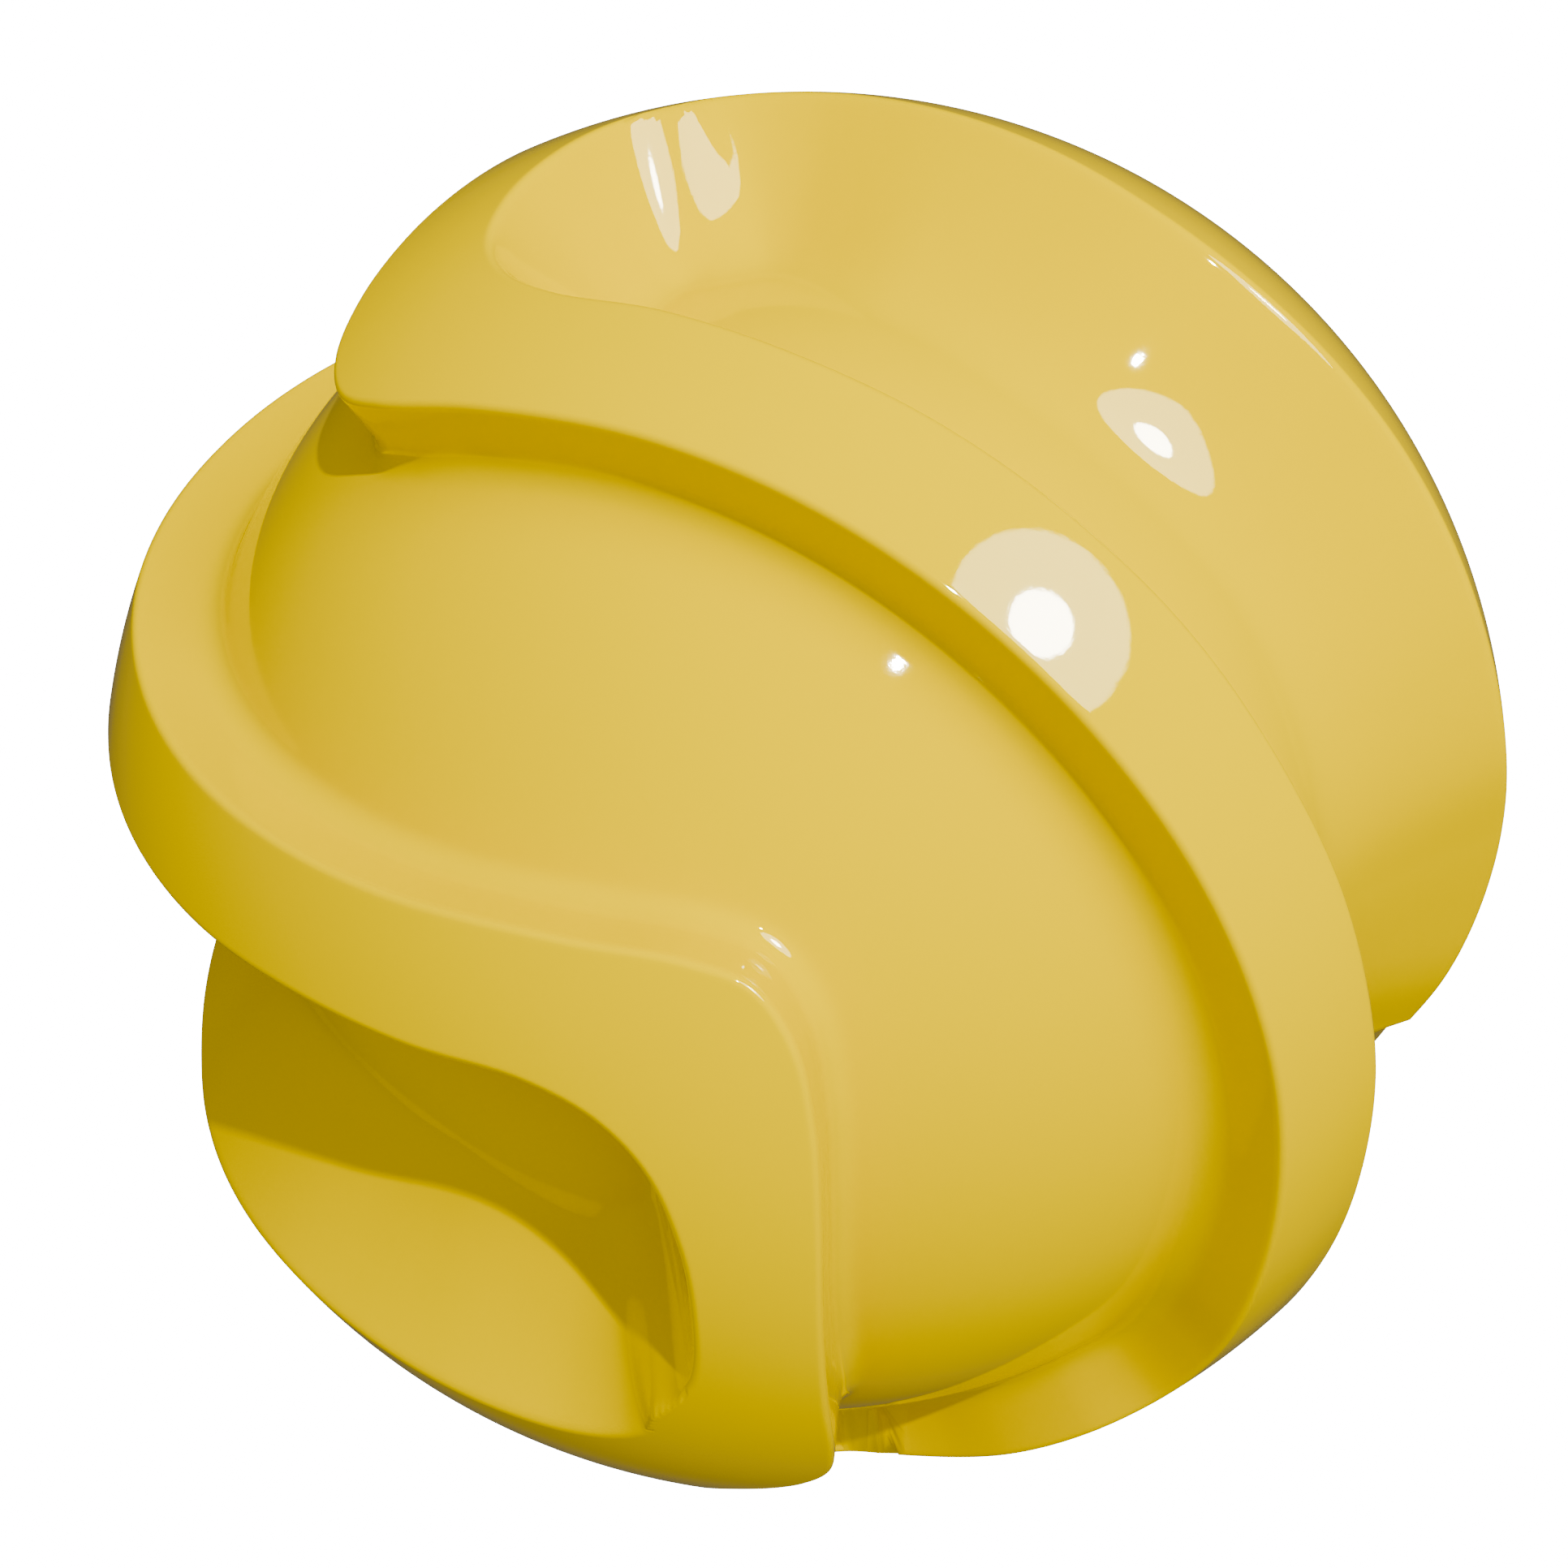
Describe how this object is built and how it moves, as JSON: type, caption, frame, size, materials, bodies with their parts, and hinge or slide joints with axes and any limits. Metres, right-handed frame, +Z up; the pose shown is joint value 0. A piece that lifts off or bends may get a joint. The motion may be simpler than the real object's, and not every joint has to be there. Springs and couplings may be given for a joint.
{
  "type": "merry go round",
  "caption": "Ball-shaped playground spinner: a hollow moulded ball with two scooped seats and an S-shaped foot channel that turns on a fixed steel spindle.",
  "frame": {"origin": "centre of the ground plate's underside, on the spin axis", "axes": "+Z up along the spindle; +X and +Y along the sides of the square ground plate"},
  "size_m": [0.9508, 0.9542, 0.9577],
  "materials": {
    "yellow_shell": "gloss",
    "painted_steel": "satin",
    "zinc_steel": "zinc plated",
    "bright_steel": "ground",
    "brass": "turned",
    "black_rubber": "matt"
  },
  "bodies": {
    "base": {"ground_plate": "painted_steel", "base_ribs": "painted_steel", "spindle": "bright_steel", "spindle_tab_washer": "zinc_steel", "spindle_nut": "zinc_steel", "spacer_sleeve": "zinc_steel", "lower_bearing_inner_ring": "bright_steel", "upper_bearing_inner_ring": "bright_steel"},
    "ball": {"ball_shell": "yellow_shell", "hub_tube": "painted_steel", "carrier_flange": "painted_steel", "carrier_ribs": "painted_steel", "threaded_insert_1": "brass", "threaded_insert_2": "brass", "threaded_insert_3": "brass", "threaded_insert_4": "brass", "threaded_insert_5": "brass", "threaded_insert_6": "brass", "flange_washer_1": "zinc_steel", "flange_washer_2": "zinc_steel", "flange_washer_3": "zinc_steel", "flange_washer_4": "zinc_steel", "flange_washer_5": "zinc_steel", "flange_washer_6": "zinc_steel", "flange_bolt_1": "zinc_steel", "flange_bolt_2": "zinc_steel", "flange_bolt_3": "zinc_steel", "flange_bolt_4": "zinc_steel", "flange_bolt_5": "zinc_steel", "flange_bolt_6": "zinc_steel", "lower_bearing_outer_ring": "bright_steel", "upper_bearing_outer_ring": "bright_steel", "bearing_circlip": "bright_steel", "spindle_seal": "black_rubber", "hub_cap": "black_rubber"},
    "lower_cage": {"lower_bearing_balls": "bright_steel"},
    "upper_cage": {"upper_bearing_balls": "bright_steel"}
  },
  "joints": [
    {"name": "ball_spin", "type": "hinge", "parent": "base", "child": "ball", "pos_m": [0, 0, 0.08], "axis": [0, 0, 1], "continuous": true},
    {"name": "lower_cage_spin", "type": "hinge", "parent": "base", "child": "lower_cage", "pos_m": [0, 0, 0.1295], "axis": [0, 0, 1], "continuous": true},
    {"name": "upper_cage_spin", "type": "hinge", "parent": "base", "child": "upper_cage", "pos_m": [0, 0, 0.4075], "axis": [0, 0, 1], "continuous": true}
  ],
  "couplings": [
    {"joint": "lower_cage_spin", "follows": "ball_spin", "ratio": 0.589},
    {"joint": "upper_cage_spin", "follows": "ball_spin", "ratio": 0.589}
  ]
}
